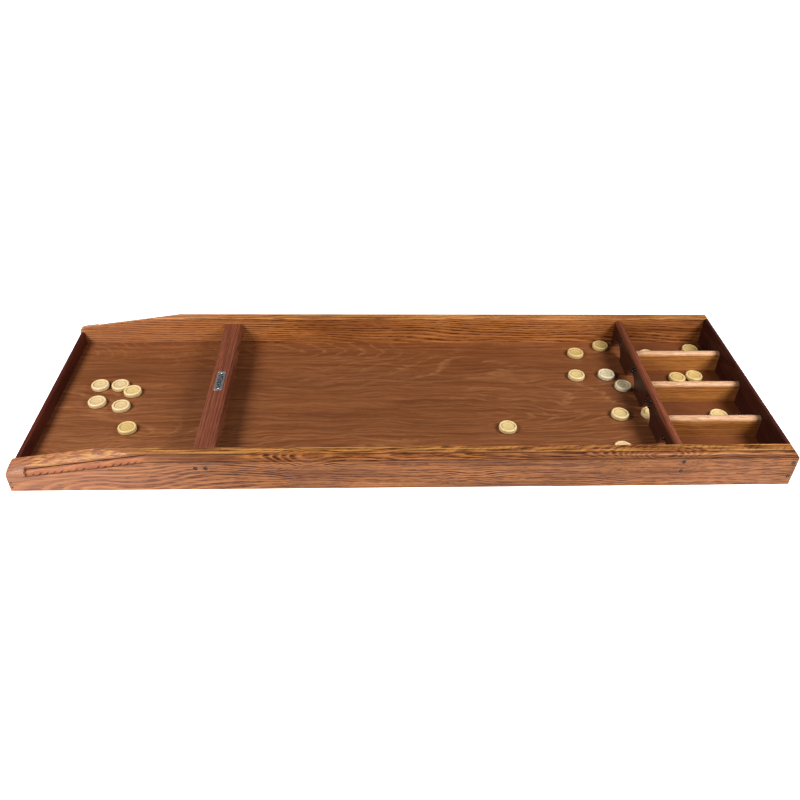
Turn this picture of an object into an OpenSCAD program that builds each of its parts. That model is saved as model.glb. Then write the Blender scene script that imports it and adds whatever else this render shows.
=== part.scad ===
// Tabletop shuffleboard: a shallow wooden tray with a start beam, a board of four
// arched gates, scoring boxes behind the gates and twenty loose turned discs.
// Origin: centre of the footprint, on the surface the tray stands on.
// +X points from the player's end to the gates, +Z is up. Millimetres.

/* [Board] */
// Overall length
board_l = 1200; // [1150:10:1400]
// Overall width over the side rails
board_w = 415; // [414:1:440]
// Height of the side rails and the far end board
board_h = 64; // [60:1:80]
// Height of the tray at the player's end
player_end_h = 33; // [30:1:40]
// Thickness of the board across the player's end
player_end_t = 8; // [8:1:12]
// Thickness of the board across the far end
far_end_t = 13; // [12:1:18]

/* [Side rails] */
// Thickness of a side rail
rail_t = 25; // [20:1:25]
// Length over which the rails taper down to the player's end
taper_l = 210; // [120:10:260]
// Outward slope of the tapered top, in degrees
taper_tilt = 22; // [15:1:30]
// Radius of the quarter round moulded along the tray's outer top edge
mould_r = 7; // [5:0.5:9]
// Depth of the small steps above and below the quarter round
mould_step = 1.5; // [1:0.5:2]
// Rounding of the inner top edge
rail_inner_r = 2; // [1:0.5:4]

/* [Floor] */
// Height of the playing surface above the table
floor_top = 10; // [8:1:12]
// Thickness of the plywood floor
floor_t = 6; // [4:1:7]
// Depth of the groove in each rail that holds the floor
groove_d = 8; // [5:1:10]

/* [Start beam] */
// Distance from the outside of the player's end to the middle of the beam
beam_from_end = 288; // [270:1:340]
// Width of the beam along the board
beam_w = 33; // [28:1:40]
// Height of the beam's section
beam_t = 20; // [14:1:24]
// Height of the beam's top above the table
beam_top = 53; // [50:1:56]
// Length of the blank name plate
plate_l = 52; // [30:1:80]
// Width of the blank name plate
plate_w = 14; // [10:1:18]
// Thickness of the blank name plate
plate_t = 0.8; // [0.5:0.1:1.5]

/* [Gates] */
// Distance from the outside of the far end to the near face of the gate board
gate_from_end = 186; // [180:1:210]
// Thickness of the gate board
gate_t = 13; // [12:1:18]
// Height of the gate board's top above the table
gate_top = 60.5; // [58:0.5:62]
// Radius of each arched gate, centred on the playing surface
gate_r = 24.5; // [22:0.5:26]

/* [Scoring boxes] */
// Thickness of a divider
divider_t = 15; // [10:1:18]
// Height of a divider above the playing surface
divider_h = 38; // [24:1:44]

/* [Discs] */
// Diameter of a disc
disc_d = 30; // [28:0.5:30]
// Thickness of a disc
disc_t = 8; // [7:0.5:9]

/* [Fasteners] */
// Head diameter of a countersunk wood screw
screw_head_d = 7.5; // [6:0.5:8]
// Shank diameter of a countersunk wood screw
screw_d = 3.8; // [3:0.1:4]
// Head diameter of a domed scoring stud
stud_head_d = 7; // [5:0.5:8]

/* [Hidden] */
$fn = 48;

rail_wood = [0.71, 0.45, 0.23];
dark_wood = [0.36, 0.17, 0.10];
floor_wood = [0.66, 0.44, 0.25];
divider_wood = [0.74, 0.49, 0.28];
disc_wood = [0.93, 0.86, 0.64];
black_metal = [0.10, 0.10, 0.10];
bright_metal = [0.78, 0.79, 0.80];

eps = 0.01;                                   // overrun of a cutter past a face
play = 0.05;                                  // radial clearance of a pilot hole
half_l = board_l / 2;
half_w = board_w / 2;
near_end_x = player_end_t - half_l;           // inner face of the player's end board
far_end_x = half_l - far_end_t;               // inner face of the far end board
inner_w = board_w - 2 * rail_t;
taper_x = taper_l - half_l;                   // where the taper starts
taper_angle = atan((board_h - player_end_h) / taper_l);
rail_nose_r = 14;                             // rounding of the rails' ends, seen from the side
end_edge_r = 2.5;                             // rounding of the player's end board

beam_x = beam_from_end - half_l;
beam_z = beam_top - beam_t / 2;
beam_top_r = 5;
beam_bottom_r = 2;

gate_x = half_l - gate_from_end;              // near face of the gate board
gate_back_x = gate_x + gate_t;
gate_edge_r = 5.5;
gate_count = 4;
box_w = (inner_w - (gate_count - 1) * divider_t) / gate_count;
box_pitch = box_w + divider_t;
function gate_y(i) = (1.5 - i) * box_pitch;   // i = 0 at the back, 3 at the front
function divider_y(i) = (2 - i) * box_pitch;  // i = 1 at the back, 3 at the front

screw_head_h = 3;
screw_recess_d = 1.4;
screw_sink = 0.3;                             // how far a head sits below the wood

stud_dome_h = 2.8;
stud_shank_d = 1.8;
stud_shank_l = 8;
stud_row_z = floor_top + 31.5;                // middle of each stud pattern
// Offsets across the board and up, one list per number of studs
stud_patterns = [
  [[8, -3], [-7.5, 3]],
  [[0.5, 4.4], [-9, 5.5], [-1, -3.3]],
  [[10.5, 7.5], [-8, 7], [-8, -4.5], [10.5, -5.4]],
  [[5, -3.8]]
];

end_pin_head_d = 3.2;
end_pin_head_h = 1;
end_pin_d = 1.8;
end_pin_l = rail_t + 12;

pin_inset = 4;                                // name plate pins from the plate's ends
pin_head_d = 3.2;
pin_d = 1.4;
pin_l = 7;

// Where each disc lies: distance from the player's end, and across the board
start_spots = [[70, 40.5], [105, 40.5], [130, 23], [77, -7], [120, -18.5], [144, -77]];
// Distance past the gate board's near face, and across the board
gate_spots = [
  [-242, -80], [-80, 139], [-26, 164], [-94, 67], [-38, 69.5],    // playing field
  [-15.5, 35], [-43, -46.5], [10, -44], [-61, -135],              // at the gates
  [146, 151], [56, 133.5], [90.5, 58.5], [124, 64], [128, -51.5]  // scoring boxes
];
disc_spots = concat(
  [for (spot = start_spots) [spot[0] - half_l, spot[1]]],
  [for (spot = gate_spots) [spot[0] + gate_x, spot[1]]]
);

// ---------- shared shapes ----------

// Points of an arc of radius r about c, from angle a0 to a1
function arc(c, r, a0, a1, steps = 6) =
  [for (k = [0 : steps]) let (a = a0 + (a1 - a0) * k / steps) c + r * [cos(a), sin(a)]];

// The square corner that a sanded rounding of radius r takes away, corner at the origin.
// The arc meets both faces at a slight angle, as it does on sanded wood.
module corner_waste(r) {
  blunt = 0.06 * r;
  difference() {
    translate([-1, -1]) square(r + 1 + blunt);
    translate([r + blunt, r + blunt]) circle(norm([blunt, r + blunt]));
  }
}

// What the moulding takes from a square edge, corner at the origin: a quarter round
// that stands inside a small step at either end. Y points down into the wood.
module mould_waste() {
  reach = mould_r + mould_step;
  above = 8;
  difference() {
    translate([-1, -above]) square([reach + 1, reach + above]);
    translate([reach, reach]) circle(mould_r);
  }
}

// Rectangle from the origin whose two top corners are rounded and two bottom ones eased
module eased_section(w, h, top_r, bottom_r) {
  difference() {
    square([w, h]);
    translate([0, h]) mirror([0, 1]) corner_waste(top_r);
    translate([w, h]) mirror([1, 0]) mirror([0, 1]) corner_waste(top_r);
    corner_waste(bottom_r);
    translate([w, 0]) mirror([1, 0]) corner_waste(bottom_r);
  }
}

// Extrudes a section drawn in (Y, Z) along +X from x0 to x1
module along_x(x0, x1) {
  translate([x0, 0, 0]) rotate([90, 0, 90]) linear_extrude(x1 - x0) children();
}

// Extrudes a section drawn in (X, Z) across the board between the rails' inner faces
module across_tray() {
  translate([0, inner_w / 2, 0]) rotate([90, 0, 0]) linear_extrude(inner_w) children();
}

// Places children at the top of the front rail's taper, on its outer edge, with X
// running back up the slope
module at_taper() {
  translate([taper_x, -half_w, board_h]) rotate([0, -taper_angle, 0]) children();
}

// The moulding along the front rail's outer top edge, level and then down the taper,
// where it stops short of the end. The taper's stretch is cut a touch further in, so
// that the two meet in one clean edge.
module rail_mould() {
  overrun = 0.22 * taper_l;
  inset = 0.2;
  translate([0, -half_w, board_h]) along_x(taper_x - overrun, half_l + 2)
    mirror([0, 1]) mould_waste();
  at_taper() translate([0, inset, 0]) along_x(-0.88 * taper_l, overrun)
    mirror([0, 1]) mould_waste();
}

// Everything above the front rail's tapered top, which also slopes outwards
module taper_waste() {
  at_taper() rotate([taper_tilt, 0, 0])
    translate([-1.4 * taper_l, -rail_t, 0]) cube([2 * taper_l, 4 * rail_t, board_h]);
}

// Cuts the moulding across the far end, through the rails and the board between them
module far_end_mould() {
  translate([half_l, half_w + 2, board_h]) rotate([90, 0, 0]) linear_extrude(board_w + 4)
    mirror([1, 0]) mirror([0, 1]) mould_waste();
}

// Side outline of a rail, drawn in (X, Z), before the taper is cut
module rail_outline() {
  nose = [rail_nose_r - half_l, player_end_h];
  polygon(concat(
    [[-half_l, 0], [half_l, 0], [half_l, board_h], [taper_x - 0.8 * taper_l, board_h]],
    arc(nose, rail_nose_r, 95, 180)
  ));
}

// The front rail's blank: its side outline, less the taper, the mouldings and the
// rounded inner edge of its level top
module rail_blank() {
  difference() {
    translate([0, -half_w + rail_t, 0]) rotate([90, 0, 0]) linear_extrude(rail_t) rail_outline();
    taper_waste();
    rail_mould();
    translate([0, -half_w + rail_t, board_h]) along_x(taper_x - 0.5 * taper_l, half_l + 2)
      mirror([1, 0]) mirror([0, 1]) corner_waste(rail_inner_r);
    far_end_mould();
  }
}

// Countersunk wood screw along +Z, its head's flat face at 0 and its point at length
module wood_screw(length) {
  difference() {
    rotate_extrude() polygon([
      [0, 0], [screw_head_d / 2, 0], [screw_head_d / 2, 0.5], [screw_d / 2, screw_head_h],
      [screw_d / 2, length - screw_d], [0, length]
    ]);
    for (turn = [0, 90]) rotate([0, 0, turn])
      translate([-screw_head_d / 4, -0.5, -eps]) cube([screw_head_d / 2, 1, screw_recess_d]);
  }
}

// The space a wood screw needs: countersink, pilot hole, and its way in from outside
module screw_room(length) {
  head_r = screw_head_d / 2 + play;
  shank_r = screw_d / 2 + play;
  end_r = 0.4;                                // the hole's blunt end
  rotate_extrude() polygon([
    [0, -5], [head_r, -5], [head_r, 0.5], [shank_r, screw_head_h],
    [shank_r, length - screw_d], [end_r, length + play], [0, length + play]
  ]);
}

// Places children at the beam screws: through both rails into the beam's ends
module at_beam_screws() {
  for (side = [0, 1]) mirror([0, side, 0])
    for (dx = [-7.5, 7.5])
      translate([beam_x + dx, -half_w + screw_sink, beam_z]) rotate([-90, 0, 0]) children();
}

// Places children at the gate board screws: one above the other in each rail
module at_gate_screws() {
  for (side = [0, 1]) mirror([0, side, 0])
    for (z = [30, 49])
      translate([gate_x + gate_t / 2, -half_w + screw_sink, z]) rotate([-90, 0, 0]) children();
}

// Places children at the far end board's screws: one above the other in each rail
module at_far_end_screws() {
  for (side = [0, 1]) mirror([0, side, 0])
    for (z = [18, 45])
      translate([far_end_x + far_end_t / 2, -half_w + screw_sink, z]) rotate([-90, 0, 0])
        children();
}

// Places children at the player's end board's pins: two in each rail
module at_player_end_pins() {
  for (side = [0, 1]) mirror([0, side, 0])
    for (z = [7, 17])
      translate([near_end_x - player_end_t / 2, -half_w + screw_sink, z]) rotate([-90, 0, 0])
        children();
}

// Places children at the far end board's screws into the dividers
module at_divider_screws() {
  for (i = [1, 2, 3])
    translate([half_l - screw_sink, divider_y(i), floor_top + divider_h / 2])
      rotate([0, -90, 0]) children();
}

side_screw_l = rail_t + 22;
end_screw_l = far_end_t + 24;

// Flat-headed pin along +Z, its head's face at 0
module end_pin() {
  rotate_extrude() polygon([
    [0, 0], [end_pin_head_d / 2, 0], [end_pin_head_d / 2, end_pin_head_h],
    [end_pin_d / 2, end_pin_head_h], [end_pin_d / 2, end_pin_l - 1.5],
    [0.2, end_pin_l], [0, end_pin_l]
  ]);
}

// The space an end pin needs, and its way in from outside
module end_pin_room() {
  head_r = end_pin_head_d / 2 + play;
  shank_r = end_pin_d / 2 + play;
  rotate_extrude() polygon([
    [0, -2], [head_r, -2], [head_r, end_pin_head_h], [shank_r, end_pin_head_h],
    [shank_r, end_pin_l + play], [0, end_pin_l + play]
  ]);
}

// ---------- tray ----------

module base_panel() {
  panel_w = inner_w + 2 * groove_d;
  color(floor_wood)
    translate([near_end_x, -panel_w / 2, floor_top - floor_t])
      cube([far_end_x - near_end_x, panel_w, floor_t]);
}

module front_rail() {
  color(rail_wood) difference() {
    rail_blank();
    translate([near_end_x, -half_w + rail_t - groove_d, floor_top - floor_t])
      cube([far_end_x - near_end_x, groove_d + 1, floor_t]);
    at_beam_screws() screw_room(side_screw_l);
    at_gate_screws() screw_room(side_screw_l);
    at_far_end_screws() screw_room(side_screw_l);
    at_player_end_pins() end_pin_room();
  }
}

module back_rail() {
  mirror([0, 1, 0]) front_rail();
}

module player_end_board() {
  color(dark_wood) difference() {
    translate([-half_l, 0, 0]) across_tray()
      eased_section(player_end_t, player_end_h, end_edge_r, 0.8);
    at_player_end_pins() end_pin_room();
  }
}

module far_end_board() {
  color(dark_wood) difference() {
    translate([far_end_x, 0, 0]) across_tray() difference() {
      square([far_end_t, board_h]);
      translate([far_end_t, board_h]) mirror([1, 0]) mirror([0, 1]) mould_waste();
      translate([0, board_h]) mirror([0, 1]) corner_waste(1);
    }
    at_far_end_screws() screw_room(side_screw_l);
    at_divider_screws() screw_room(end_screw_l);
  }
}

// ---------- start beam ----------

// Places children at the two name plate pins, on the plate's upper face
module at_plate_pins() {
  for (side = [-1, 1])
    translate([beam_x, side * (plate_l / 2 - pin_inset), beam_top + plate_t]) children();
}

module start_beam() {
  color(dark_wood) difference() {
    translate([beam_x - beam_w / 2, 0, beam_top - beam_t]) across_tray()
      eased_section(beam_w, beam_t, beam_top_r, beam_bottom_r);
    at_beam_screws() screw_room(side_screw_l);
    at_plate_pins() translate([0, 0, -pin_l - play]) cylinder(d = pin_d + 2 * play, h = pin_l + 1);
  }
}

module name_plate() {
  corner_r = 1.5;
  color(bright_metal) difference() {
    translate([beam_x, 0, beam_top]) linear_extrude(plate_t) difference() {
      square([plate_w, plate_l], center = true);
      for (sx = [-1, 1], sy = [-1, 1])
        translate([sx * plate_w / 2, sy * plate_l / 2]) mirror([sx > 0 ? 1 : 0, 0])
          mirror([0, sy > 0 ? 1 : 0]) corner_waste(corner_r);
    }
    at_plate_pins() translate([0, 0, -plate_t - 1]) cylinder(d = pin_d + 2 * play, h = plate_t + 2);
  }
}

module name_plate_pins() {
  color(bright_metal) at_plate_pins() {
    translate([0, 0, -pin_l]) cylinder(d = pin_d, h = pin_l + eps);
    dome(pin_head_d, 0.9);
  }
}

// ---------- gates ----------

// Spherical cap of base diameter d and height h, standing on z = 0
module dome(d, h) {
  ball_r = (d * d / 4 + h * h) / (2 * h);
  intersection() {
    translate([0, 0, h - ball_r]) sphere(ball_r);
    cylinder(d = d + 1, h = h + 1);
  }
}

// Places children at every stud of pattern i, on the gate board's near face
module at_studs(i) {
  for (spot = stud_patterns[i])
    translate([gate_x, gate_y(i) + spot[0], stud_row_z + spot[1]]) rotate([0, -90, 0]) children();
}

module gate_board() {
  color(dark_wood) difference() {
    translate([gate_x, 0, floor_top]) across_tray()
      eased_section(gate_t, gate_top - floor_top, gate_edge_r, 0.4);
    for (i = [0 : gate_count - 1])
      translate([gate_x - 1, gate_y(i), floor_top]) rotate([0, 90, 0])
        cylinder(r = gate_r, h = gate_t + 2);
    for (i = [0 : gate_count - 1]) at_studs(i)
      translate([0, 0, -stud_shank_l - play])
        cylinder(d = stud_shank_d + 2 * play, h = stud_shank_l + 1);
    at_gate_screws() screw_room(side_screw_l);
  }
}

module scoring_studs(i) {
  color(black_metal) at_studs(i) {
    translate([0, 0, -stud_shank_l]) cylinder(d = stud_shank_d, h = stud_shank_l + eps);
    dome(stud_head_d, stud_dome_h);
  }
}

// ---------- scoring boxes ----------

module divider(i) {
  color(divider_wood) difference() {
    translate([0, divider_y(i) - divider_t / 2, floor_top]) along_x(gate_back_x, far_end_x)
      eased_section(divider_t, divider_h, divider_t / 2 - 0.5, 0.4);
    at_divider_screws() screw_room(end_screw_l);
  }
}

// ---------- fasteners ----------

module start_beam_screws() {
  color(bright_metal) at_beam_screws() wood_screw(side_screw_l);
}

module gate_board_screws() {
  color(bright_metal) at_gate_screws() wood_screw(side_screw_l);
}

module player_end_pins() {
  color(bright_metal) at_player_end_pins() end_pin();
}

module far_end_screws() {
  color(bright_metal) at_far_end_screws() wood_screw(side_screw_l);
}

module divider_screws() {
  color(bright_metal) at_divider_screws() wood_screw(end_screw_l);
}

// ---------- discs ----------

// Turned disc standing on z = 0: rounded rim, dished on both faces
module disc_shape() {
  r = disc_d / 2;
  edge_r = 2.2;                               // rounding of the rim's outside
  land_r = r - 4.2;                           // inner edge of the raised rim
  dish_r = r - 6.4;                           // where the flat of the dish starts
  dish_d = 1.3;                               // depth of the top dish
  relief_d = 0.5;                             // depth of the underside's dish
  rotate_extrude($fn = 64) polygon(concat(
    [[0, relief_d], [dish_r, relief_d], [land_r, 0]],
    arc([r - edge_r, edge_r], edge_r, -90, 0),
    arc([r - edge_r, disc_t - edge_r], edge_r, 0, 90),
    [[land_r, disc_t - 0.1], [dish_r, disc_t - dish_d], [0, disc_t - dish_d]]
  ));
}

module disc(i) {
  color(disc_wood) translate([disc_spots[i - 1][0], disc_spots[i - 1][1], floor_top]) disc_shape();
}

base_panel();
front_rail();
back_rail();
player_end_board();
far_end_board();
start_beam();
name_plate();
name_plate_pins();
gate_board();
scoring_studs(0);  // scoring_studs_two
scoring_studs(1);  // scoring_studs_three
scoring_studs(2);  // scoring_studs_four
scoring_studs(3);  // scoring_studs_one
divider(1);  // divider_1
divider(2);  // divider_2
divider(3);  // divider_3
start_beam_screws();
gate_board_screws();
player_end_pins();
far_end_screws();
divider_screws();
disc(1);  // disc_01
disc(2);  // disc_02
disc(3);  // disc_03
disc(4);  // disc_04
disc(5);  // disc_05
disc(6);  // disc_06
disc(7);  // disc_07
disc(8);  // disc_08
disc(9);  // disc_09
disc(10);  // disc_10
disc(11);  // disc_11
disc(12);  // disc_12
disc(13);  // disc_13
disc(14);  // disc_14
disc(15);  // disc_15
disc(16);  // disc_16
disc(17);  // disc_17
disc(18);  // disc_18
disc(19);  // disc_19
disc(20);  // disc_20
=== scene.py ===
"""A small wooden tabletop shuffleboard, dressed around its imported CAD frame.

The CAD boards, rails, screws and studs keep their shapes and get procedural woods and metals.
The discs and the name plate are modelled again here in finer detail.
"""

import math
import random

import bmesh
import bpy
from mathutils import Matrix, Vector


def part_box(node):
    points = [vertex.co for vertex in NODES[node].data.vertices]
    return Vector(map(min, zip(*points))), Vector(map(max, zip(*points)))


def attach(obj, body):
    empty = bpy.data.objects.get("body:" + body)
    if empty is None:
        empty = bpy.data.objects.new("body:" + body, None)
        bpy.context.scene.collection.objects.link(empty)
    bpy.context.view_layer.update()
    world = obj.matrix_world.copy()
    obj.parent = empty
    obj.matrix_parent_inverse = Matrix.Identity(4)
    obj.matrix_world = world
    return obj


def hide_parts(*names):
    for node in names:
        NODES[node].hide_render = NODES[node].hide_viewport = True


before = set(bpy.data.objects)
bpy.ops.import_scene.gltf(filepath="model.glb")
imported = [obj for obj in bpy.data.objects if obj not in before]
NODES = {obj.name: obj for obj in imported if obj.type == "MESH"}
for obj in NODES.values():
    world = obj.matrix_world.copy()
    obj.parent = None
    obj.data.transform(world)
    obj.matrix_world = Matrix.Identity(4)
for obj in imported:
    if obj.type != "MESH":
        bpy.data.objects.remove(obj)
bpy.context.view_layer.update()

DISCS = sorted(name for name in NODES if name.startswith("disc_"))
MM = 0.001


# ---------------------------------------------------------------- node helpers

class Graph:
    """Builds one material's node tree with short calls."""

    def __init__(self, name):
        self.material = bpy.data.materials.new(name)
        self.material.use_nodes = True
        self.tree = self.material.node_tree
        self.shader = self.tree.nodes["Principled BSDF"]

    def node(self, kind, inputs=None, **settings):
        made = self.tree.nodes.new(kind)
        for key, value in settings.items():
            setattr(made, key, value)
        for key, value in (inputs or {}).items():
            self.feed(made.inputs[key], value)
        return made

    def feed(self, socket, value):
        if isinstance(value, bpy.types.NodeSocket):
            self.tree.links.new(value, socket)
        else:
            socket.default_value = value

    def math(self, operation, a, b=0.0, clamp=False):
        return self.node("ShaderNodeMath", {0: a, 1: b}, operation=operation, use_clamp=clamp).outputs[0]

    def remap(self, value, low, high, to_low=0.0, to_high=1.0):
        made = self.node(
            "ShaderNodeMapRange",
            {"Value": value, "From Min": low, "From Max": high, "To Min": to_low, "To Max": to_high},
            interpolation_type="SMOOTHSTEP",
        )
        return made.outputs["Result"]

    def noise(self, vector, scale, detail=3.0, rough=0.55):
        return self.node(
            "ShaderNodeTexNoise",
            {"Vector": vector, "Scale": scale, "Detail": detail, "Roughness": rough},
        )

    def mapping(self, vector, location=(0, 0, 0), rotation=(0, 0, 0), scale=(1, 1, 1)):
        return self.node(
            "ShaderNodeMapping",
            {"Vector": vector, "Location": location, "Rotation": rotation, "Scale": scale},
        ).outputs[0]

    def mix(self, factor, a, b):
        made = self.node("ShaderNodeMix", data_type="RGBA")
        self.feed(made.inputs[0], factor)
        self.feed(made.inputs[6], a)
        self.feed(made.inputs[7], b)
        return made.outputs[2]

    def object_place(self):
        return self.node("ShaderNodeTexCoord").outputs["Object"]

    def bump(self, height, distance, strength=1.0):
        return self.node(
            "ShaderNodeBump", {"Height": height, "Distance": distance, "Strength": strength}
        ).outputs["Normal"]

    def edge_mask(self, radius):
        """1 on outward edges and 0 on flat faces, from how far a bevelled normal turns."""
        rounded = self.node("ShaderNodeBevel", {"Radius": radius}, samples=6).outputs["Normal"]
        plain = self.node("ShaderNodeNewGeometry").outputs["Normal"]
        turned = self.node("ShaderNodeVectorMath", {0: rounded, 1: plain}, operation="DOT_PRODUCT")
        return self.remap(turned.outputs["Value"], 0.995, 0.80)


def rgb(r, g, b):
    return (r, g, b, 1.0)


# ---------------------------------------------------------------- tones

# Pale, stained, deepest and rosy tones of each wood
FRONT = (rgb(0.45, 0.184, 0.054), rgb(0.078, 0.018, 0.006),
         rgb(0.024, 0.005, 0.003), rgb(0.42, 0.158, 0.084))
PINE = (rgb(0.68, 0.290, 0.092), rgb(0.130, 0.035, 0.009),
        rgb(0.032, 0.008, 0.003), rgb(0.56, 0.215, 0.100))
DARK = (rgb(0.120, 0.030, 0.017), rgb(0.052, 0.012, 0.008),
        rgb(0.017, 0.005, 0.004), rgb(0.125, 0.034, 0.025))
GATE = (rgb(0.275, 0.092, 0.042), rgb(0.105, 0.028, 0.014),
        rgb(0.030, 0.008, 0.006), rgb(0.260, 0.088, 0.060))
FAR = (rgb(0.070, 0.019, 0.012), rgb(0.032, 0.008, 0.006),
       rgb(0.012, 0.004, 0.003), rgb(0.075, 0.022, 0.017))
BOX = (rgb(0.70, 0.325, 0.098), rgb(0.290, 0.105, 0.027),
       rgb(0.095, 0.030, 0.012), rgb(0.56, 0.235, 0.105))
# Pale, stained and deepest tones of the floor's veneer, and its pale contour lines
FLOOR = (rgb(0.290, 0.116, 0.044), rgb(0.145, 0.046, 0.013), rgb(0.050, 0.014, 0.006))
FIGURE = rgb(0.40, 0.185, 0.080)
# Pale tones: the dividers' tops, rubbed bare with painted sheen; the rails' player's ends, painted light;
# the rails' tops, rubbed with painted sheen
BARE_AND_SHEEN_TOP = (rgb(0.64, 0.41, 0.26), rgb(0.40, 0.19, 0.095))
END_PAINTED_LIGHT = rgb(0.58, 0.28, 0.17)
WORN_TOP_AND_SHEEN = rgb(0.62, 0.34, 0.11)


# ---------------------------------------------------------------- woods

KNOT_STRETCH = 0.42      # a knot's swirl is this much slimmer across than along the board


def ring_radius(g, place, pith, drift, knots):
    """Distance from the tree's centre line, pushed outward round each knot."""
    along, side, up = g.node("ShaderNodeSeparateXYZ", {0: place}).outputs
    side = g.math("ADD", g.math("SUBTRACT", side, pith[0]), g.math("MULTIPLY", along, drift[0]))
    up = g.math("ADD", g.math("SUBTRACT", up, pith[1]), g.math("MULTIPLY", along, drift[1]))
    radius = g.math("SQRT", g.math("ADD", g.math("POWER", side, 2.0), g.math("POWER", up, 2.0)))
    heart = 0.0
    for x, y, z, size, dark in knots:
        local = g.mapping(place, location=(-x * KNOT_STRETCH / size, -y / size, -z / size),
                          scale=(KNOT_STRETCH / size, 1 / size, 1 / size))
        reach = g.node("ShaderNodeVectorMath", {0: local}, operation="LENGTH").outputs["Value"]
        swell = g.math("EXPONENT", g.math("MULTIPLY", g.math("POWER", reach, 2.0), -1.0))
        radius = g.math("ADD", radius, g.math("MULTIPLY", swell, size * 1.1))
        heart = g.math("ADD", heart, g.math("MULTIPLY", g.remap(reach, 0.42, 0.18), dark))
    return radius, heart


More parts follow.
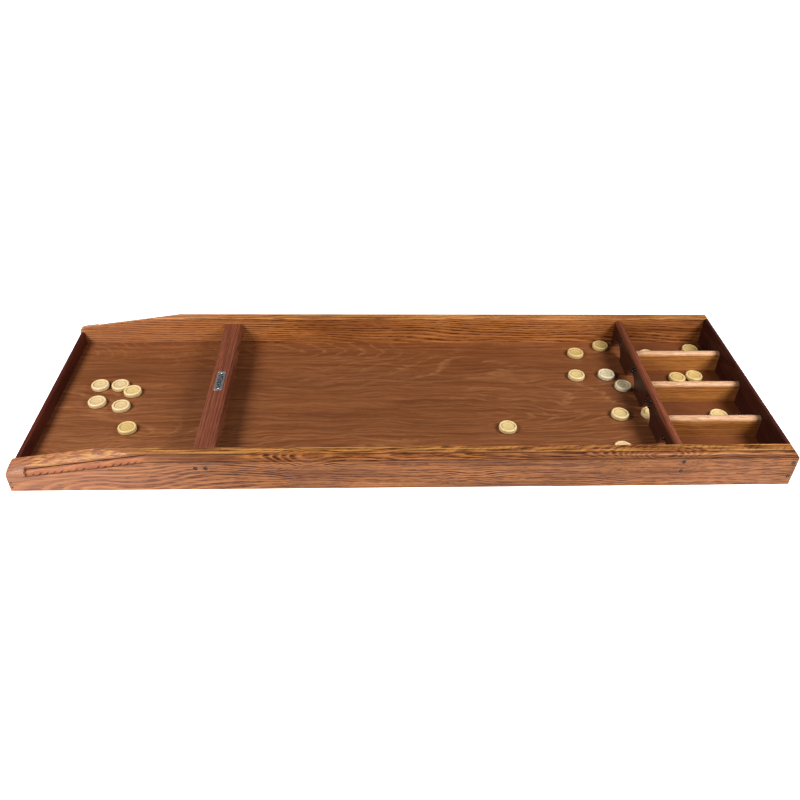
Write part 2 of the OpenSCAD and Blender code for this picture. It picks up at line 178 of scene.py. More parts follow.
def wood(name, colours, ring=0.0035, pith=(0.0, -0.05), drift=(0.0, 0.0), wander=0.008,
         across=False, knots=(), ring_strength=0.8, pore_strength=0.5, rough=0.42, wear=0.5,
         seed=0.0, figure=1.0, finish=None, blush=0.35, spread=0.0, shine=0.2):
    """Open-pored solid wood with real growth rings, drawn in three dimensions so that faces agree.

    colours: pale latewood, stained pores, deepest stain, rosy patches. ring: spacing of the rings.
    pith: where the tree's centre lay from the board's axis. drift: how it slopes along the board.
    across: the grain runs along Y, where it otherwise runs along X. knots: (x, y, z, size, darkness).
    blush: how rosy the patches get. spread: how much wider the stained bands are.
    shine: the strength of the finish's reflection.
    finish: a function of the graph and the colour, for marks that belong to one board's shape.
    """
    pale, late, deep, rosy = colours
    g = Graph(name)
    place = g.object_place()
    if across:
        place = g.mapping(place, rotation=(0, 0, math.radians(90)))
    shifted = g.mapping(place, location=(seed, 0, 0))

    # the rings' centre line wanders slowly along the board
    slow = g.noise(g.mapping(shifted, scale=(2.2 * figure, 9, 9)), 1.0, 2.0)
    wobble = g.node("ShaderNodeVectorMath", {0: slow.outputs["Color"], 1: (0.5, 0.5, 0.5)},
                    operation="SUBTRACT")
    wobble = g.node("ShaderNodeVectorMath", {0: wobble.outputs[0], "Scale": wander * 4},
                    operation="SCALE")
    bent = g.node("ShaderNodeVectorMath", {0: place, 1: wobble.outputs[0]}, operation="ADD").outputs[0]
    radius, heart = ring_radius(g, bent, pith, drift, knots)
    uneven = g.noise(g.mapping(shifted, scale=(7, 60, 60)), 1.0, 3.0)
    turns = g.math("ADD", g.math("DIVIDE", radius, ring), g.math("MULTIPLY", uneven.outputs["Fac"], 0.8))
    phase = g.math("FRACT", turns)
    # each ring starts with a band of open pores, which drink the stain, and closes smoothly
    band = g.math("MULTIPLY", g.remap(phase, 0.0, 0.12), g.remap(phase, 0.66 + spread, 0.24 + spread))
    year = g.noise(g.mapping(g.node("ShaderNodeCombineXYZ", {0: g.math("FLOOR", turns)}).outputs[0],
                             scale=(0.37, 1, 1)), 1.0, 0.0)
    band = g.math("MULTIPLY", band, g.remap(year.outputs["Fac"], 0.25, 0.75, 0.45, 1.0))

    # long streaks, fine fibres and short open pores
    fibre = g.noise(g.mapping(shifted, scale=(14, 1100, 1100)), 1.0, 4.0, 0.65).outputs["Fac"]
    streak = g.noise(g.mapping(shifted, scale=(3.5, 260, 260)), 1.0, 3.0, 0.6).outputs["Fac"]
    dash = g.noise(g.mapping(shifted, scale=(48, 620, 620)), 1.0, 2.0, 0.6).outputs["Fac"]
    dash = g.remap(dash, 0.44, 0.60)
    broken = g.math("ADD", g.math("MULTIPLY", dash, 0.70), 0.30)
    band = g.math("MULTIPLY", g.math("MULTIPLY", band, broken), ring_strength)
    pores = g.noise(g.mapping(shifted, scale=(60, 1500, 1500)), 1.0, 1.0).outputs["Fac"]
    pores = g.math("MULTIPLY", g.remap(pores, 0.58, 0.70), pore_strength)
    patch = g.noise(g.mapping(shifted, scale=(7, 30, 30)), 1.0, 3.0).outputs["Fac"]
    blotch = g.noise(g.mapping(shifted, location=(4.0, 0, 0), scale=(5, 14, 14)), 1.0, 3.0).outputs["Fac"]

    colour = g.mix(g.remap(patch, 0.42, 0.62, 0.0, blush), pale, rosy)
    colour = g.mix(g.remap(streak, 0.42, 0.66, 0.0, 0.60), colour, late)
    colour = g.mix(band, colour, late)
    colour = g.mix(g.math("MULTIPLY", band, g.remap(fibre, 0.40, 0.62, 0.0, 0.75)), colour, deep)
    colour = g.mix(g.remap(fibre, 0.40, 0.75, 0.0, 0.30), colour, late)
    colour = g.mix(g.math("MULTIPLY", pores, 0.7), colour, deep)
    colour = g.mix(g.remap(blotch, 0.45, 0.72, 0.0, 0.40), colour, late)
    if knots:
        colour = g.mix(g.math("MULTIPLY", heart, 0.85, clamp=True), colour, deep)
    if finish:
        colour = finish(g, colour)

    edges = g.edge_mask(1.6 * MM)
    rub = g.noise(g.mapping(shifted, scale=(30, 60, 60)), 1.0, 3.0).outputs["Fac"]
    worn = g.math("MULTIPLY", edges, g.remap(rub, 0.38, 0.62, 0.10, wear))
    colour = g.mix(worn, colour, g.mix(0.35, rosy, rgb(0.80, 0.58, 0.38)))
    g.feed(g.shader.inputs["Base Color"], colour)

    smear = g.noise(g.mapping(shifted, scale=(9, 30, 30)), 1.0, 3.0).outputs["Fac"]
    gloss = g.math("ADD", g.remap(smear, 0.3, 0.7, rough - 0.07, rough + 0.08),
                   g.math("MULTIPLY", band, 0.05))
    gloss = g.math("ADD", gloss, g.math("MULTIPLY", pores, 0.2))
    g.feed(g.shader.inputs["Roughness"], gloss)
    g.shader.inputs["Specular IOR Level"].default_value = shine
    g.shader.inputs["Coat Weight"].default_value = shine * 0.2
    g.shader.inputs["Coat Roughness"].default_value = 0.35
    relief = g.math("SUBTRACT", g.math("MULTIPLY", fibre, 0.4), g.math("MULTIPLY", band, 0.6))
    relief = g.math("SUBTRACT", relief, g.math("MULTIPLY", pores, 0.8))
    g.feed(g.shader.inputs["Normal"], g.bump(relief, 0.25 * MM, 0.55))
    return g.material


# ---------------------------------------------------------------- the rails' moulded edge

TAPER = 210 * MM         # length over which the rails come down to the player's end
MOULD_STOP = 25 * MM     # how far from that end the moulding stops
QUIRKS = (-7.8 * MM, 8.2 * MM)     # where the moulding's two grooves lie on the unrolled section
CHATTER_PITCH = 11.0 * MM          # from one slanting cutter mark to the next
CHATTER_SLANT = 12 * MM            # how far across the section a mark drifts over one pitch


def moulded_edge(node):
    """Marks along a rail's moulding: dark quirks of stain with painted shade, and a rosy band and slanting
    chatter that the cutter left.

    The section is unrolled into one distance: below the outer top edge it counts up, and in from
    it along the top it counts down, so that the two quirks lie near minus and plus 8 mm.
    """
    low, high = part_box(node)
    outer = low.y if abs(low.y) > abs(high.y) else high.y
    end_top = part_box("player_end_board")[1].z
    slope = (high.z - end_top) / TAPER
    thick = high.y - low.y

    def finish(g, colour):
        along, side, up = g.node("ShaderNodeSeparateXYZ", {0: g.object_place()}).outputs
        from_bend = g.math("MAXIMUM", g.math("SUBTRACT", low.x + TAPER, along), 0.0)
        top = g.math("SUBTRACT", high.z, g.math("MULTIPLY", from_bend, slope))
        below = g.math("SUBTRACT", top, up)
        inward = g.math("ABSOLUTE", g.math("SUBTRACT", side, outer))
        unrolled = g.math("SUBTRACT", below, inward)
        on_taper = g.remap(from_bend, 0.0, 6 * MM)

        upper = g.math("MULTIPLY", g.remap(unrolled, -24 * MM, -20 * MM),
                       g.remap(unrolled, -9 * MM, -12 * MM))
        lower = g.math("MULTIPLY", g.remap(unrolled, -6 * MM, 0 * MM), g.remap(unrolled, 11 * MM, 8 * MM))
        stroke = g.math("ADD", g.math("DIVIDE", along, CHATTER_PITCH),
                        g.math("DIVIDE", unrolled, CHATTER_SLANT))
        stroke = g.math("ABSOLUTE", g.math("SUBTRACT", g.math("FRACT", stroke), 0.5))
        luck = g.noise(g.mapping(g.object_place(), scale=(45, 200, 200)), 1.0, 2.0).outputs["Fac"]
        chatter = g.math("MULTIPLY", g.remap(stroke, 0.20, 0.05), g.remap(luck, 0.40, 0.58))
        far_half = g.remap(along, -0.05, 0.35, 0.25, 0.8)
        low_edge = g.math("MULTIPLY", g.math("MULTIPLY", g.remap(unrolled, 1 * MM, 5 * MM), lower),
                          on_taper)
        marks = g.math("ADD", g.math("MULTIPLY", g.math("MULTIPLY", upper, far_half), 0.7), low_edge)
        _, _, deep, rosy = FRONT
        # painted light: the rails grow paler towards the player's end; the top inside the moulding gets
        # pale streaks, partly rubbed by hands and partly painted sheen
        painted_light_end = g.remap(along, low.x + 400 * MM, low.x + 60 * MM, 0.0, 0.28)
        colour = g.mix(painted_light_end, colour, END_PAINTED_LIGHT)
        plain = colour
        worn = g.mapping(g.object_place(), location=(1.7, 0, 0), scale=(9, 330, 330))
        worn = g.noise(worn, 1.0, 3.0).outputs["Fac"]
        # pale streaks on the flat top: partly rubbed finish, partly painted sheen
        worn_top_and_sheen = g.math("MULTIPLY", g.remap(unrolled, -8 * MM, -10 * MM),
                          g.remap(worn, 0.48, 0.60, 0.0, 0.55))
        colour = g.mix(worn_top_and_sheen, colour, WORN_TOP_AND_SHEEN)
        colour = g.mix(g.math("MULTIPLY", g.math("MULTIPLY", lower, on_taper), 0.60), colour, rosy)
        chatter = g.math("MULTIPLY", g.math("MULTIPLY", chatter, marks), 0.85, clamp=True)
        colour = g.mix(chatter, colour, deep)
        quirk_stain_and_shade = g.math("ADD", g.math("MULTIPLY", on_taper, 0.15), 0.75)
        # dark quirks: stain gathered in the grooves, with painted shade in them
        for quirk in QUIRKS:
            near = g.math("ABSOLUTE", g.math("SUBTRACT", unrolled, quirk))
            colour = g.mix(g.math("MULTIPLY", g.remap(near, 1.5 * MM, 0.4 * MM), quirk_stain_and_shade), colour, deep)
        # none of these marks on the inner face, nor past the moulding's stop
        where = g.math("MULTIPLY", g.remap(inward, thick - 0.4 * MM, thick - 0.8 * MM),
                       g.remap(along, low.x + MOULD_STOP - 4 * MM, low.x + MOULD_STOP + 8 * MM))
        return g.mix(where, plain, colour)

    return finish


def plywood(name, colours, rough=0.45):
    """Rotary-cut veneer: fine wavy streaks, faint pale contour lines and short dark flecks."""
    pale, late, deep = colours
    g = Graph(name)
    place = g.object_place()
    sway = g.noise(g.mapping(place, scale=(5, 14, 1)), 1.0, 2.0)
    offset = g.math("MULTIPLY", g.math("SUBTRACT", sway.outputs["Fac"], 0.5), 0.045)
    offset = g.node("ShaderNodeCombineXYZ", {1: offset}).outputs[0]
    bent = g.node("ShaderNodeVectorMath", {0: place, 1: offset}, operation="ADD").outputs[0]
    field = g.noise(g.mapping(bent, location=(3.1, 0.4, 0), scale=(1.3, 7.0, 1)), 1.0, 1.0, 0.4)
    turns = g.math("MULTIPLY", field.outputs["Fac"], 34.0)
    wavy = g.noise(g.mapping(bent, scale=(30, 160, 1)), 1.0, 2.0).outputs["Fac"]
    turns = g.math("ADD", turns, g.math("MULTIPLY", wavy, 0.7))
    crest = g.math("ABSOLUTE", g.math("SUBTRACT", g.math("FRACT", turns), 0.5))
    line = g.math("MULTIPLY", g.remap(crest, 0.16, 0.02), g.remap(wavy, 0.35, 0.65, 0.3, 1.0))
    fibre = g.noise(g.mapping(bent, scale=(16, 900, 900)), 1.0, 4.0, 0.65).outputs["Fac"]
    streak = g.noise(g.mapping(bent, scale=(3.0, 150, 1)), 1.0, 4.0, 0.62).outputs["Fac"]
    ripple = g.noise(g.mapping(bent, scale=(22, 330, 1)), 1.0, 2.0, 0.6).outputs["Fac"]
    fleck = g.remap(g.noise(g.mapping(bent, scale=(70, 800, 1)), 1.0, 1.0).outputs["Fac"], 0.58, 0.70)
    blotch = g.noise(g.mapping(place, scale=(3.2, 7.5, 1)), 1.0, 3.0).outputs["Fac"]
    colour = g.mix(g.remap(streak, 0.38, 0.66, 0.0, 0.75), pale, late)
    colour = g.mix(g.remap(ripple, 0.42, 0.62, 0.0, 0.40), colour, late)
    colour = g.mix(g.remap(fibre, 0.38, 0.75, 0.0, 0.35), colour, deep)
    colour = g.mix(g.math("MULTIPLY", fleck, 0.30), colour, deep)
    colour = g.mix(g.remap(blotch, 0.44, 0.68, 0.0, 0.40), colour, late)
    shown = g.noise(g.mapping(place, location=(0.8, 0.3, 0), scale=(2.4, 5, 1)), 1.0, 1.0).outputs["Fac"]
    colour = g.mix(g.math("MULTIPLY", line, g.remap(shown, 0.38, 0.62, 0.08, 0.50)), colour, FIGURE)
    # discs polish faint lighter tracks along the floor
    rub = g.noise(g.mapping(place, location=(0, 7, 0), scale=(3, 22, 1)), 1.0, 2.0).outputs["Fac"]
    colour = g.mix(g.remap(rub, 0.55, 0.75, 0.0, 0.18), colour, pale)
    # painted shade: the floor inside the scoring boxes, closed in between boards and dividers, is mixed
    # darker
    along = g.node("ShaderNodeSeparateXYZ", {0: place}).outputs[0]
    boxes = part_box("gate_board")[1].x
    colour = g.mix(g.remap(along, boxes - 8 * MM, boxes + 4 * MM, 0.0, 0.65), colour, late)
    g.feed(g.shader.inputs["Base Color"], colour)
    g.feed(g.shader.inputs["Roughness"], g.remap(rub, 0.3, 0.75, rough + 0.08, rough - 0.08))
    g.shader.inputs["Coat Weight"].default_value = 0.06
    g.shader.inputs["Coat Roughness"].default_value = 0.45
    relief = g.math("ADD", g.math("MULTIPLY", line, 0.3), g.math("MULTIPLY", fibre, 0.5))
    relief = g.math("SUBTRACT", relief, g.math("MULTIPLY", fleck, 0.6))
    g.feed(g.shader.inputs["Normal"], g.bump(relief, 0.18 * MM, 0.5))
    return g.material


def turned_wood(name, centre, colours, angle, seed):
    """Pale turned hardwood: straight rings across the disc and fine circles left by the lathe."""
    pale, late, deep = colours
    g = Graph(name)
    place = g.mapping(g.object_place(), location=(-centre[0], -centre[1], -centre[2]))
    turned = g.mapping(place, location=(seed, seed * 0.7, 0), rotation=(0.25, 0.15, angle))
    axes = g.node("ShaderNodeSeparateXYZ", {0: place})
    from_axis = g.math("SQRT", g.math("ADD", g.math("POWER", axes.outputs[0], 2.0),
                                      g.math("POWER", axes.outputs[1], 2.0)))
    bend = g.noise(turned, 60.0, 2.0).outputs["Fac"]
    grain_axis = g.node("ShaderNodeSeparateXYZ", {0: turned}).outputs[1]
    turns = g.math("ADD", g.math("MULTIPLY", grain_axis, 520.0), g.math("MULTIPLY", bend, 2.2))
    phase = g.math("FRACT", turns)
    band = g.math("MULTIPLY", g.remap(phase, 0.2, 0.85), g.remap(phase, 1.0, 0.88))
    fibre = g.noise(g.mapping(turned, scale=(120, 1500, 1500)), 1.0, 3.0).outputs["Fac"]
    cloud = g.noise(turned, 95.0, 3.0).outputs["Fac"]
    lathe = g.noise(g.node("ShaderNodeCombineXYZ", {0: from_axis}).outputs[0], 2600.0, 1.0).outputs["Fac"]
    dish_shade = g.math("MULTIPLY", g.remap(from_axis, 11.6 * MM, 9.5 * MM),
                    g.remap(cloud, 0.25, 0.7, 0.45, 1.0))
    step_shade = g.remap(g.math("ABSOLUTE", g.math("SUBTRACT", from_axis, 10.3 * MM)), 1.1 * MM, 0.3 * MM)
    colour = g.mix(g.math("MULTIPLY", band, 0.38), pale, late)
    colour = g.mix(g.remap(fibre, 0.4, 0.8, 0.0, 0.25), colour, deep)
    # painted shade: the dish is darkened, with a dark ring at its step
    colour = g.mix(g.math("MULTIPLY", dish_shade, 0.80), colour, late)
    colour = g.mix(g.math("MULTIPLY", step_shade, 0.70), colour, deep)
    colour = g.mix(g.remap(cloud, 0.5, 0.75, 0.0, 0.35), colour, late)
    colour = g.mix(g.remap(lathe, 0.55, 0.75, 0.0, 0.18), colour, deep)
    g.feed(g.shader.inputs["Base Color"], colour)
    g.feed(g.shader.inputs["Roughness"], g.remap(cloud, 0.3, 0.7, 0.34, 0.48))
    g.shader.inputs["Coat Weight"].default_value = 0.18
    g.shader.inputs["Coat Roughness"].default_value = 0.25
    g.shader.inputs["Subsurface Weight"].default_value = 0.04
    g.shader.inputs["Subsurface Radius"].default_value = (0.002, 0.0014, 0.0008)
    relief = g.math("ADD", g.math("MULTIPLY", lathe, 0.6), g.math("MULTIPLY", fibre, 0.3))
    g.feed(g.shader.inputs["Normal"], g.bump(relief, 0.08 * MM, 0.5))
    return g.material


# ---------------------------------------------------------------- metals

def metal(name, colour, dull, rough, metallic, scratch_scale=(900, 60, 900), bump=0.05, tarnish=0.5,
          sunk=None):
    """Metal with drawn scratches, tarnish in patches and rubbed edges.

    sunk: (centre, half_x, half_y) of a field where grime has settled in uneven patches.
    """
    g = Graph(name)
    place = g.object_place()
    scratch = g.noise(g.mapping(place, scale=scratch_scale), 1.0, 3.0, 0.6).outputs["Fac"]
    patch = g.noise(place, 260.0, 4.0).outputs["Fac"]
    edges = g.edge_mask(0.5 * MM)
    shade = g.mix(g.remap(patch, 0.40, 0.68, 0.0, tarnish), colour, dull)
    shade = g.mix(g.remap(scratch, 0.55, 0.8, 0.0, 0.3), shade, dull)
    shade = g.mix(g.math("MULTIPLY", edges, 0.35), shade, rgb(0.72, 0.70, 0.68))
    if sunk:
        centre, half_x, half_y = sunk
        along, side, _ = g.node("ShaderNodeSeparateXYZ", {0: place}).outputs
        off_x = g.math("ABSOLUTE", g.math("SUBTRACT", along, centre.x))
        off_y = g.math("ABSOLUTE", g.math("SUBTRACT", side, centre.y))
        field = g.math("MULTIPLY", g.remap(off_x, half_x, half_x * 0.85),
                       g.remap(off_y, half_y, half_y * 0.9))
        grime = g.noise(g.mapping(place, scale=(420, 300, 1)), 1.0, 2.0).outputs["Fac"]
        grime = g.math("MULTIPLY", field, g.remap(grime, 0.46, 0.54, 0.0, 0.88))
        shade = g.mix(grime, shade, rgb(0.05, 0.05, 0.05))
    g.feed(g.shader.inputs["Base Color"], shade)
    g.shader.inputs["Metallic"].default_value = metallic
    g.feed(g.shader.inputs["Roughness"], g.remap(patch, 0.3, 0.7, rough - 0.06, rough + 0.14))
    height = g.math("ADD", g.math("MULTIPLY", scratch, 0.5), g.math("MULTIPLY", patch, 0.5))
    g.feed(g.shader.inputs["Normal"], g.bump(height, bump * MM, 0.6))
    return g.material


# ---------------------------------------------------------------- dressing CAD nodes

def is_curved(normal):
    """Whether a face is shaded smooth: all are, except the square ones and those that lean outwards.

    The leaning ones are one facet on each rail and small facets of screw and pin heads. The
    tapers' flat tops lean a little less than this range, so they are shaded smooth too.
    """
    square = max(abs(normal.x), abs(normal.y), abs(normal.z)) > 0.9999
    leaning = normal.z > 0.85 and -0.17 < normal.x < -0.11 and 0.38 < abs(normal.y) < 0.45
    return not (square or leaning)


def dress(node, material, edge=0.0):
    """Gives a CAD node its material and, where edge is over 0, softly broken edges."""
    piece = NODES[node]
    piece.data.materials.clear()
    piece.data.materials.append(material)
    if edge > 0:
        weld = piece.modifiers.new("weld", "WELD")
        weld.merge_threshold = 0.005 * MM
        bevel = piece.modifiers.new("broken_edges", "BEVEL")
        bevel.width = edge
        bevel.segments = 2
        bevel.limit_method = "ANGLE"
        bevel.angle_limit = math.radians(40)
    for polygon in piece.data.polygons:
        polygon.use_smooth = is_curved(polygon.normal)


def middle(node):
    low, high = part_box(node)
    return (low + high) / 2


def shaded_near_face(node):
    """The gate board's near face, below its worn top, darkened as painted shade."""
    low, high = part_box(node)

    def finish(g, colour):
        along, _, up = g.node("ShaderNodeSeparateXYZ", {0: g.object_place()}).outputs
        face = g.math("MULTIPLY", g.remap(along, low.x + 3 * MM, low.x + 0.5 * MM),
                      g.remap(up, high.z - 3 * MM, high.z - 8 * MM))
        # painted shade: the near face is mixed towards the deepest tone
        return g.mix(g.math("MULTIPLY", face, 0.84), colour, GATE[2])

    return finish


def rubbed_and_sheen_top(node):
    """The divider's rounded top, where hands have rubbed the stain away, with painted sheen on the
    rounding.
    """
    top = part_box(node)[1].z

    def finish(g, colour):
        up = g.node("ShaderNodeSeparateXYZ", {0: g.object_place()}).outputs[2]
        ragged = g.noise(g.mapping(g.object_place(), scale=(40, 300, 300)), 1.0, 3.0).outputs["Fac"]
        bare_and_sheen = g.remap(g.math("ADD", up, g.math("MULTIPLY", ragged, 2.5 * MM)),
                       top - 4.2 * MM, top - 2.2 * MM)
        speck = g.noise(g.mapping(g.object_place(), scale=(60, 500, 500)), 1.0, 3.0).outputs["Fac"]
        rubbed = g.mix(g.remap(speck, 0.45, 0.62, 0.0, 0.7), BARE_AND_SHEEN_TOP[0], BARE_AND_SHEEN_TOP[1])
        # pale top: partly stain rubbed away, partly a painted highlight on the rounding
        return g.mix(g.math("MULTIPLY", bare_and_sheen, 0.92), colour, rubbed)

    return finish


def dress_tray():
    front = middle("front_rail")
    back = middle("back_rail")
    front_knots = [
        (-0.430, front.y, 0.031, 0.008, 0.0), (-0.404, front.y, 0.030, 0.007, 0.6),
        (0.385, front.y - 0.01, 0.056, 0.026, 0.0), (0.10, front.y, 0.020, 0.016, 0.0),
        (-0.16, front.y, 0.045, 0.018, 0.0),
    ]
    dress("front_rail", wood("oak_front", FRONT, ring=3.1 * MM, pith=(front.y + 0.030, -0.035),
                             drift=(0.045, 0.060), wander=0.009, knots=front_knots, wear=0.30,
                             finish=moulded_edge("front_rail"), ring_strength=1.25, figure=1.3,
                             spread=0.22, blush=0.25), 0.4 * MM)
    dress("back_rail", wood("oak_back", PINE, ring=3.6 * MM, pith=(back.y + 0.045, -0.020),
                            drift=(-0.02, 0.015), wander=0.009, seed=3.7, wear=0.30, ring_strength=1.1,
                            finish=moulded_edge("back_rail"), spread=0.06, blush=0.20), 0.4 * MM)
    dress("base_panel", plywood("floor_veneer", FLOOR), 0.3 * MM)
    for node, seed, tones in (("player_end_board", 1.3, DARK), ("far_end_board", 5.9, FAR)):
        pith = (-middle(node).x + 0.05, -0.03)
        dress(node, wood(node + "_wood", tones, ring=3.4 * MM, pith=pith, across=True, seed=seed,
                         rough=0.40, wear=0.25, pore_strength=0.4), 0.4 * MM)
    beam = middle("start_beam")
    dress("start_beam", wood("beam_wood", GATE, ring=4.0 * MM, pith=(-beam.x + 0.01, -0.02), across=True,
                             seed=8.1, rough=0.40, wear=0.5, drift=(0.03, 0.0), shine=0.5), 0.4 * MM)
    gate = middle("gate_board")
    dress("gate_board", wood("gate_wood", GATE, ring=3.8 * MM, pith=(-gate.x + 0.04, -0.03), across=True,
                             seed=2.2, rough=0.38, wear=0.4, drift=(0.02, 0.03), shine=0.45,
                             finish=shaded_near_face("gate_board")), 0.4 * MM)
    for i in (1, 2, 3):
        node = "divider_%d" % i
        place = middle(node)
        dress(node, wood(node + "_wood", BOX, ring=3.6 * MM, pith=(place.y + 0.02, -0.03), seed=1.7 * i,
                         drift=(0.05, 0.04), wear=0.2, rough=0.40, finish=rubbed_and_sheen_top(node)), 0.3 * MM)


def dress_fasteners():
    screw = metal("screw_steel", rgb(0.070, 0.024, 0.012), rgb(0.025, 0.009, 0.005), 0.62, 0.10)
    for node in NODES:
        if node.endswith("_screws") or node == "player_end_pins":
            dress(node, screw)
    stud = metal("blackened_iron", rgb(0.030, 0.030, 0.034), rgb(0.012, 0.011, 0.011), 0.30, 0.75,
                 scratch_scale=(500, 500, 500), bump=0.12, tarnish=0.7)
    for node in NODES:
        if node.startswith("scoring_studs"):
            dress(node, stud)
    dress("name_plate_pins", metal("pin_metal", rgb(0.66, 0.66, 0.67), rgb(0.30, 0.29, 0.28), 0.28, 0.95))


# ---------------------------------------------------------------- new pieces

def mesh_piece(name, mesh_data, material, body, replaced):
    piece = bpy.data.objects.new(name, mesh_data)
    bpy.context.scene.collection.objects.link(piece)
    mesh_data.materials.append(material)
    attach(piece, body)
    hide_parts(replaced)
    return piece


def arc(cx, cy, radius, start, end, steps):
    """Points of an arc about (cx, cy), angles in degrees."""
    points = []
    for k in range(steps + 1):
        a = math.radians(start + (end - start) * k / steps)
        points.append((cx + radius * math.cos(a), cy + radius * math.sin(a)))
    return points


def lathe(name, profile, centre, segments=96):
    """Turns a profile of (radius, height) points about a vertical axis through centre."""
    mesh = bmesh.new()
    rings = []
    for radius, height in profile:
        if radius < 1e-7:
            rings.append([mesh.verts.new((centre.x, centre.y, centre.z + height))])
            continue
        rings.append([
            mesh.verts.new((
                centre.x + radius * math.cos(2 * math.pi * k / segments),
                centre.y + radius * math.sin(2 * math.pi * k / segments),
                centre.z + height,
            ))
            for k in range(segments)
        ])
    for low, high in zip(rings, rings[1:]):
        for k in range(segments):
            n = (k + 1) % segments
            if len(low) == 1:
                mesh.faces.new((low[0], high[n], high[k]))
            elif len(high) == 1:
                mesh.faces.new((low[k], low[n], high[0]))
            else:
                mesh.faces.new((low[k], low[n], high[n], high[k]))
    bmesh.ops.recalc_face_normals(mesh, faces=mesh.faces)
    for face in mesh.faces:
        face.smooth = True
    data = bpy.data.meshes.new(name)
    mesh.to_mesh(data)
    mesh.free()
    return data


def disc_profile(radius, thickness, rim_width, dish):
    """One turned disc from its underside's middle to its top's: rounded rim, bead, dish and ring."""
    edge = 2.0 * MM
    land = radius - rim_width
    top = thickness
    points = [(0, 0.45 * MM), (land - 2.6 * MM, 0.45 * MM), (land - 1.2 * MM, 0.35 * MM)]
    points += [(land, 0.05 * MM), (land + 0.5 * MM, 0.0)]
    points += arc(radius - edge, edge, edge, -90, 0, 8)
    points += arc(radius - edge, top - edge, edge, 0, 90, 8)
    points += [(land + 0.4 * MM, top)]
    points += arc(land + 0.4 * MM, top - 0.5 * MM, 0.5 * MM, 90, 180, 4)[1:]
    points += arc(land - 0.9 * MM, top - 0.5 * MM, 0.8 * MM, 0, -90, 5)[1:]
    floor = top - dish
    points += [(land - 1.9 * MM, floor), (4.6 * MM, floor + 0.05 * MM)]
    # a fine groove round the middle, then the low button that the lathe leaves
    points += [(4.3 * MM, floor - 0.18 * MM), (4.0 * MM, floor + 0.05 * MM)]
    points += [(2.4 * MM, floor + 0.16 * MM), (0, floor + 0.22 * MM)]
    return points


CREAM = (rgb(0.78, 0.63, 0.35), rgb(0.62, 0.45, 0.19), rgb(0.36, 0.22, 0.08))
GOLD = (rgb(0.74, 0.57, 0.27), rgb(0.52, 0.36, 0.13), rgb(0.30, 0.18, 0.06))
PALE = (rgb(0.80, 0.72, 0.52), rgb(0.56, 0.46, 0.28), rgb(0.34, 0.25, 0.13))
ROSY = (rgb(0.80, 0.65, 0.38), rgb(0.60, 0.42, 0.22), rgb(0.36, 0.22, 0.10))
# Which wood each disc was turned from, disc_01 first
DISC_WOODS = [ROSY, ROSY, CREAM, ROSY, ROSY, GOLD, CREAM, GOLD, GOLD, CREAM,
              PALE, PALE, CREAM, CREAM, ROSY, GOLD, ROSY, GOLD, GOLD, CREAM]


def make_discs():
    luck = random.Random(11)
    for node, colours in zip(DISCS, DISC_WOODS):
        low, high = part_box(node)
        centre = Vector(((low.x + high.x) / 2, (low.y + high.y) / 2, low.z))
        radius = (high.x - low.x) / 2
        rim = luck.uniform(3.2, 3.8) * MM
        dish = luck.uniform(1.2, 1.5) * MM
        angle = luck.uniform(0, math.pi)
        profile = disc_profile(radius, high.z - low.z, rim, dish)
        material = turned_wood("turned_" + node, centre, colours, angle, luck.uniform(1, 9))
        mesh_piece("turned_" + node, lathe(node + "_mesh", profile, centre), material,
                   node, node)


def rounded_outline(half_x, half_y, radius, steps=6):
    """Corners of a rounded rectangle about the origin, anticlockwise."""
    points = []
    for sx, sy, start in ((1, 1, 0), (-1, 1, 90), (-1, -1, 180), (1, -1, 270)):
        points += arc(sx * (half_x - radius), sy * (half_y - radius), radius, start, start + 90, steps)
    return points


def make_name_plate():
    """A blank plate with a raised border and a pressed lozenge in place of any lettering."""
    low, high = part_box("name_plate")
    centre = (low + high) / 2
    half_x, half_y = (high.x - low.x) / 2, (high.y - low.y) / 2
    base, top = low.z, high.z
    field = top - 0.35 * MM
    mesh = bmesh.new()
    # (inset from the edge, height) of each loop, from the underside to the sunk field
    steps = [(0.0, base), (0.0, top - 0.15 * MM), (0.15 * MM, top), (0.9 * MM, top),
             (1.1 * MM, field), (1.6 * MM, field)]
    loops = []
    for inset, height in steps:
        outline = rounded_outline(half_x - inset, half_y - inset, max(1.5 * MM - inset, 0.3 * MM))
        loops.append([mesh.verts.new((centre.x + x, centre.y + y, height)) for x, y in outline])
    count = len(loops[0])
    for inner, outer in zip(loops, loops[1:]):
        for k in range(count):
            n = (k + 1) % count
            mesh.faces.new((inner[k], inner[n], outer[n], outer[k]))
    mesh.faces.new(list(reversed(loops[0])))
    mesh.faces.new(loops[-1])
    # the lozenge: a shallow diamond standing out of the field
    reach_x, reach_y = half_x * 0.45, half_y * 0.42
    ring = [(reach_x, 0), (0, reach_y), (-reach_x, 0), (0, -reach_y)]
    lower = [mesh.verts.new((centre.x + x, centre.y + y, field - 0.05 * MM)) for x, y in ring]
    upper = [mesh.verts.new((centre.x + x * 0.8, centre.y + y * 0.8, field + 0.25 * MM)) for x, y in ring]
    for k in range(4):
        n = (k + 1) % 4
        mesh.faces.new((lower[k], lower[n], upper[n], upper[k]))
    mesh.faces.new(upper)
    mesh.faces.new(list(reversed(lower)))
    bmesh.ops.recalc_face_normals(mesh, faces=mesh.faces)
    data = bpy.data.meshes.new("name_plate_mesh")
    mesh.to_mesh(data)
    mesh.free()
    finish = metal("plate_metal", rgb(0.74, 0.75, 0.77), rgb(0.40, 0.40, 0.41), 0.34, 0.9,
                   scratch_scale=(900, 40, 900), sunk=(centre, half_x - 2.2 * MM, half_y - 5 * MM))
    mesh_piece("pressed_name_plate", data, finish, "tray", "name_plate")


# ---------------------------------------------------------------- stage, light and camera

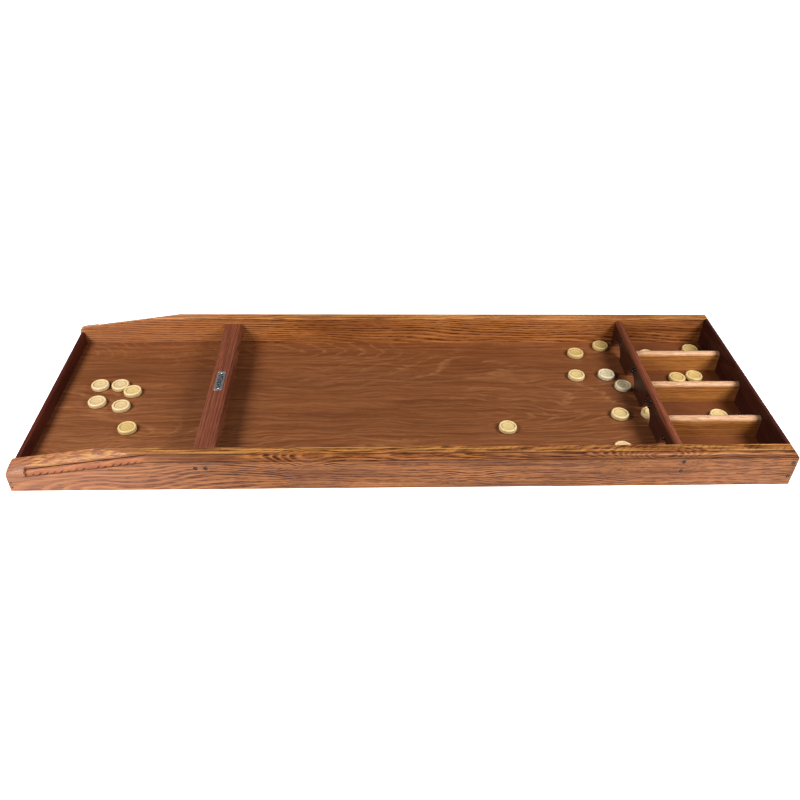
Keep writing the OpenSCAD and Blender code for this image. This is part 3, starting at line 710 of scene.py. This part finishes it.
STAGE_SIZE = 14
STAGE_LEVEL = -0.2 * MM      # just under the board, so that the two don't flicker
STAGE_GLOW = 0.85
ROOM_GLOW = 0.09
LAMP_SIZE = (0.5, 0.6)
LAMP_POWER = 22

CAMERA_PLACE = (-0.0662, -1.0726, 0.8379)
CAMERA_PITCH = 0.6555        # radians below level
CAMERA_YAW = 0.0566          # radians to the right of straight ahead
CAMERA_ROLL = 0.0307         # radians
CAMERA_LENS = 34.948         # millimetres, for a sensor 36 mm wide


def add_stage():
    bpy.ops.mesh.primitive_plane_add(size=STAGE_SIZE, location=(0, 0, STAGE_LEVEL))
    floor = bpy.context.object
    floor.name = "studio_floor"
    g = Graph("studio_paper")
    grain = g.noise(g.object_place(), 900.0, 2.0).outputs["Fac"]
    g.feed(g.shader.inputs["Base Color"], g.mix(grain, rgb(0.93, 0.93, 0.93), rgb(0.96, 0.96, 0.96)))
    g.shader.inputs["Roughness"].default_value = 0.9
    g.shader.inputs["Specular IOR Level"].default_value = 0.1
    g.shader.inputs["Emission Color"].default_value = rgb(1.0, 1.0, 1.0)
    g.shader.inputs["Emission Strength"].default_value = STAGE_GLOW
    floor.data.materials.append(g.material)


def add_light(name, place, target):
    data = bpy.data.lights.new(name, "AREA")
    data.shape = "RECTANGLE"
    data.size, data.size_y = LAMP_SIZE
    data.energy = LAMP_POWER
    lamp = bpy.data.objects.new(name, data)
    bpy.context.scene.collection.objects.link(lamp)
    lamp.location = place
    lamp.rotation_euler = (Vector(target) - Vector(place)).to_track_quat("-Z", "Y").to_euler()


def add_lights():
    world = bpy.data.worlds.new("studio")
    world.use_nodes = True
    world.node_tree.nodes["Background"].inputs[0].default_value = rgb(1.0, 1.0, 1.0)
    world.node_tree.nodes["Background"].inputs[1].default_value = ROOM_GLOW
    bpy.context.scene.world = world
    for name, side in (("soft_left", -1), ("soft_right", 1)):
        add_light(name, (side * 1.20, -0.50, 1.15), (side * 0.2, 0.0, 0.0))


def add_camera():
    """Looks down on the board from the front, a little left of its middle."""
    data = bpy.data.cameras.new("camera")
    data.sensor_width = 36.0
    data.lens = CAMERA_LENS
    data.shift_y = -0.0006
    camera = bpy.data.objects.new("camera", data)
    bpy.context.scene.collection.objects.link(camera)
    camera.location = CAMERA_PLACE
    level = math.cos(CAMERA_PITCH)
    forward = Vector((math.sin(CAMERA_YAW) * level, math.cos(CAMERA_YAW) * level, -math.sin(CAMERA_PITCH)))
    camera.rotation_euler = forward.to_track_quat("-Z", "Y").to_euler()
    camera.rotation_euler.rotate_axis("Z", CAMERA_ROLL)
    data.clip_start = 0.01
    bpy.context.scene.camera = camera


bpy.context.scene.view_settings.view_transform = "Standard"
bpy.context.scene.view_settings.look = "Medium High Contrast"
dress_tray()
dress_fasteners()
make_discs()
make_name_plate()
add_stage()
add_lights()
add_camera()
